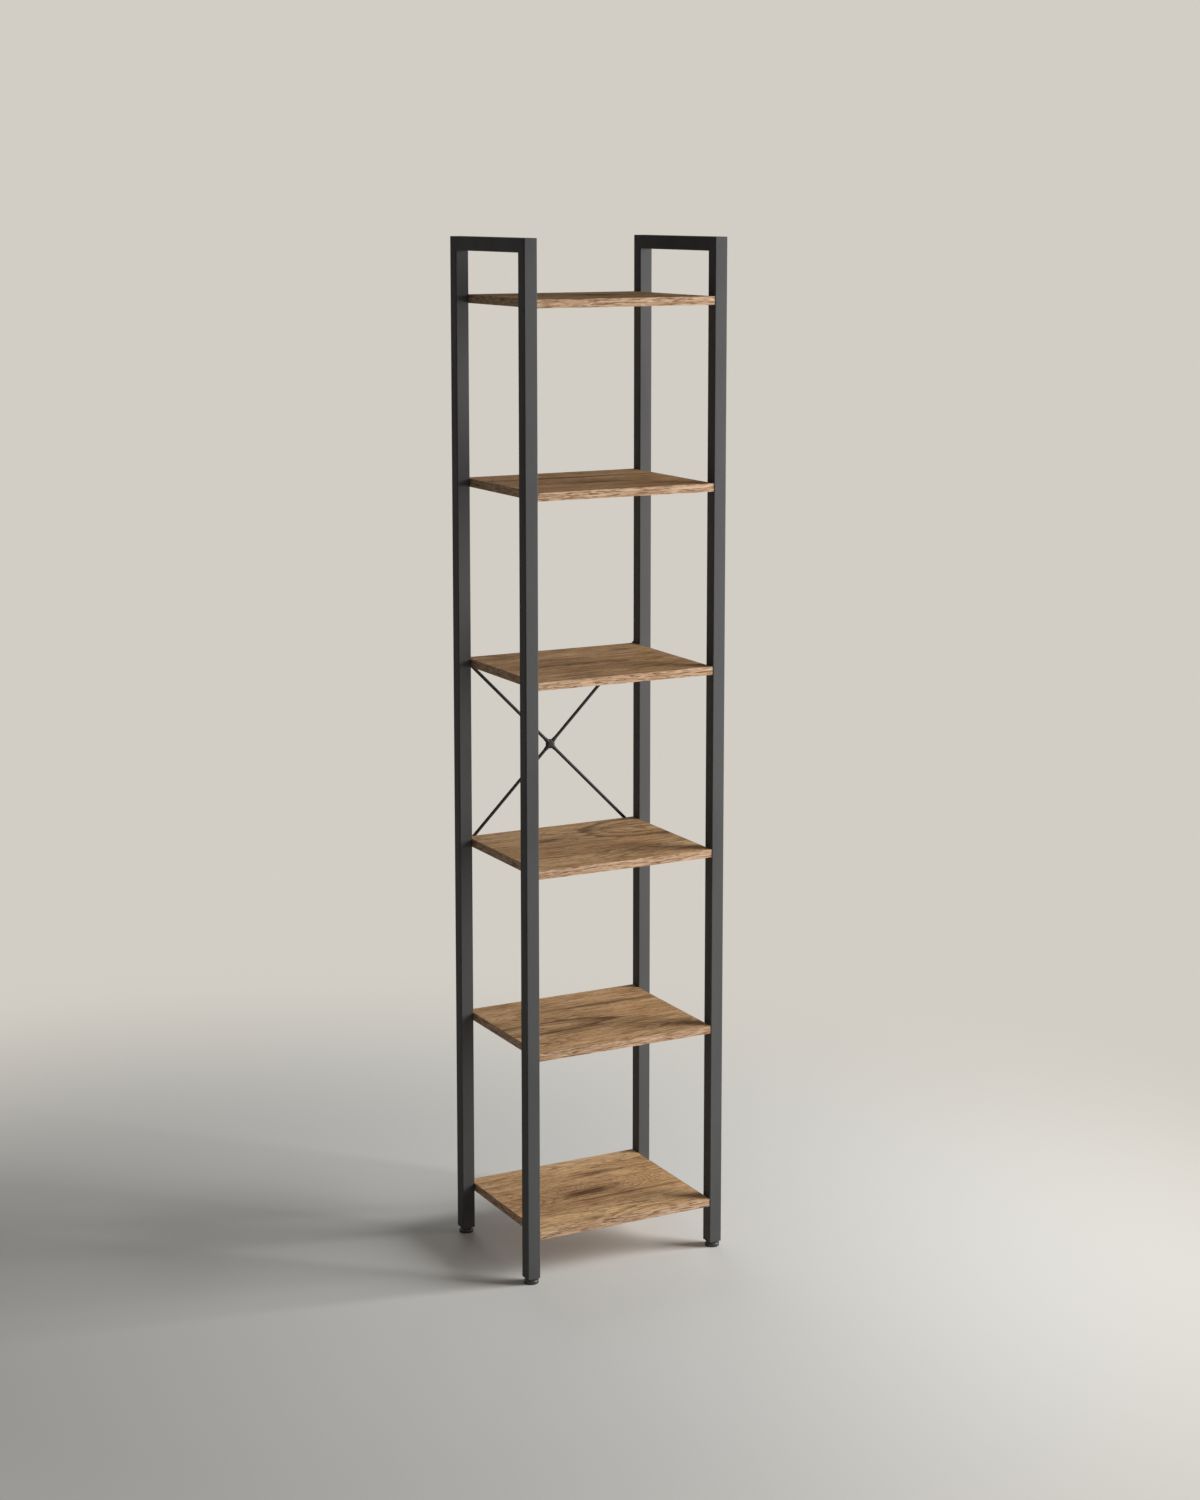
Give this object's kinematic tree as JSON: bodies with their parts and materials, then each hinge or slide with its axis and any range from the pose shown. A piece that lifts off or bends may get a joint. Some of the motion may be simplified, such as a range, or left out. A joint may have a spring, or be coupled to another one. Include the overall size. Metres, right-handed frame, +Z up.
{
  "type": "industrial bookcase",
  "caption": "Tall narrow open bookcase: wood-look shelves between square-tube steel side frames, a rod cross brace at the back and screw-adjusted levelling feet.",
  "frame": {"origin": "on the floor, under the middle of the two side frames", "axes": "+Z up, +X to the right and -Y to the front, as seen by someone facing the shelves"},
  "size_m": [0.402, 0.3087, 1.86],
  "materials": {
    "frame_powder_coat": "fine matte black powder coat on steel",
    "shelf_surface": "rustic brown printed wood grain, satin",
    "shelf_edge_band": "printed wood-grain edge band, satin",
    "zinc_plated_steel": "bright zinc plate",
    "cast_zinc": "die-cast zinc, tumbled",
    "black_screw": "black oxide",
    "black_nylon": "moulded, satin"
  },
  "bodies": {
    "bookcase": {"left_front_upright": "frame_powder_coat", "left_rear_upright": "frame_powder_coat", "left_top_bar": "frame_powder_coat", "right_front_upright": "frame_powder_coat", "right_rear_upright": "frame_powder_coat", "right_top_bar": "frame_powder_coat", "shelf_1_board": "shelf_surface", "shelf_1_edging": "shelf_edge_band", "shelf_1_cam_dowels": "zinc_plated_steel", "shelf_1_cam_locks": "cast_zinc", "shelf_2_board": "shelf_surface", "shelf_2_edging": "shelf_edge_band", "shelf_2_cam_dowels": "zinc_plated_steel", "shelf_2_cam_locks": "cast_zinc", "shelf_3_board": "shelf_surface", "shelf_3_edging": "shelf_edge_band", "shelf_3_cam_dowels": "zinc_plated_steel", "shelf_3_cam_locks": "cast_zinc", "shelf_4_board": "shelf_surface", "shelf_4_edging": "shelf_edge_band", "shelf_4_cam_dowels": "zinc_plated_steel", "shelf_4_cam_locks": "cast_zinc", "shelf_5_board": "shelf_surface", "shelf_5_edging": "shelf_edge_band", "shelf_5_cam_dowels": "zinc_plated_steel", "shelf_5_cam_locks": "cast_zinc", "shelf_6_board": "shelf_surface", "shelf_6_edging": "shelf_edge_band", "shelf_6_cam_dowels": "zinc_plated_steel", "shelf_6_cam_locks": "cast_zinc", "upper_left_brace_rod": "frame_powder_coat", "upper_right_brace_rod": "frame_powder_coat", "lower_left_brace_rod": "frame_powder_coat", "lower_right_brace_rod": "frame_powder_coat", "brace_hub": "frame_powder_coat", "brace_screws": "black_screw", "foot_nuts": "zinc_plated_steel", "front_left_foot_insert": "black_nylon", "front_right_foot_insert": "black_nylon", "rear_left_foot_insert": "black_nylon", "rear_right_foot_insert": "black_nylon"},
    "front_left_pad": {"front_left_foot_pad": "black_nylon"},
    "front_left_stud": {"front_left_foot_stud": "zinc_plated_steel"},
    "front_right_pad": {"front_right_foot_pad": "black_nylon"},
    "front_right_stud": {"front_right_foot_stud": "zinc_plated_steel"},
    "rear_left_pad": {"rear_left_foot_pad": "black_nylon"},
    "rear_left_stud": {"rear_left_foot_stud": "zinc_plated_steel"},
    "rear_right_pad": {"rear_right_foot_pad": "black_nylon"},
    "rear_right_stud": {"rear_right_foot_stud": "zinc_plated_steel"}
  },
  "joints": [
    {"name": "front_left_foot_height", "type": "slide", "parent": "bookcase", "child": "front_left_pad", "axis": [0, 0, -1], "range_m": [0, 0.012]},
    {"name": "front_left_foot_turn", "type": "hinge", "parent": "front_left_pad", "child": "front_left_stud", "pos_m": [-0.1875, -0.1375, 0], "axis": [0, 0, -1], "range_deg": [0, 3460]},
    {"name": "front_right_foot_height", "type": "slide", "parent": "bookcase", "child": "front_right_pad", "axis": [0, 0, -1], "range_m": [0, 0.012]},
    {"name": "front_right_foot_turn", "type": "hinge", "parent": "front_right_pad", "child": "front_right_stud", "pos_m": [0.1875, -0.1375, 0], "axis": [0, 0, -1], "range_deg": [0, 3460]},
    {"name": "rear_left_foot_height", "type": "slide", "parent": "bookcase", "child": "rear_left_pad", "axis": [0, 0, -1], "range_m": [0, 0.012]},
    {"name": "rear_left_foot_turn", "type": "hinge", "parent": "rear_left_pad", "child": "rear_left_stud", "pos_m": [-0.1875, 0.1375, 0], "axis": [0, 0, -1], "range_deg": [0, 3460]},
    {"name": "rear_right_foot_height", "type": "slide", "parent": "bookcase", "child": "rear_right_pad", "axis": [0, 0, -1], "range_m": [0, 0.012]},
    {"name": "rear_right_foot_turn", "type": "hinge", "parent": "rear_right_pad", "child": "rear_right_stud", "pos_m": [0.1875, 0.1375, 0], "axis": [0, 0, -1], "range_deg": [0, 3460]}
  ],
  "couplings": [
    {"joint": "front_left_foot_turn", "follows": "front_left_foot_height", "rad_per_m": 5026.5},
    {"joint": "front_right_foot_turn", "follows": "front_right_foot_height", "rad_per_m": 5026.5},
    {"joint": "rear_left_foot_turn", "follows": "rear_left_foot_height", "rad_per_m": 5026.5},
    {"joint": "rear_right_foot_turn", "follows": "rear_right_foot_height", "rad_per_m": 5026.5}
  ]
}
